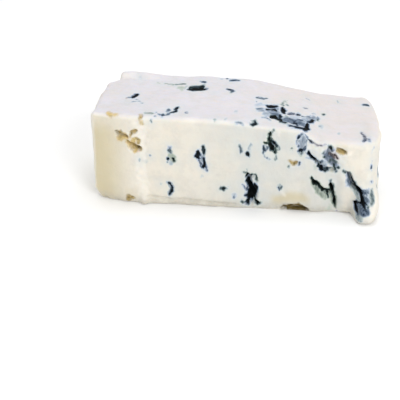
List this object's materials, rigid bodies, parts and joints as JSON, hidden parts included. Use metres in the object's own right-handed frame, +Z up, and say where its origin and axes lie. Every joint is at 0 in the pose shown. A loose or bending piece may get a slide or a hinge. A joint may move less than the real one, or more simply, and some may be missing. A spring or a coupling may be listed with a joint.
{
  "type": "gorgonzola",
  "caption": "Slab-shaped portion of soft blue-veined cheese with a falling top, mould caverns, cracks and a flat base to rest on.",
  "frame": {"origin": "middle of the slab's box, on the surface that it rests on", "axes": "+X along the slab to its thin end, -Y out of the front face, +Z up"},
  "size_m": [0.1314, 0.066, 0.0456],
  "materials": {
    "veined_curd": "creamy, softly moist curd with blue-grey mould veins"
  },
  "bodies": {
    "root": {"gorgonzola_slab": "veined_curd"}
  },
  "joints": []
}
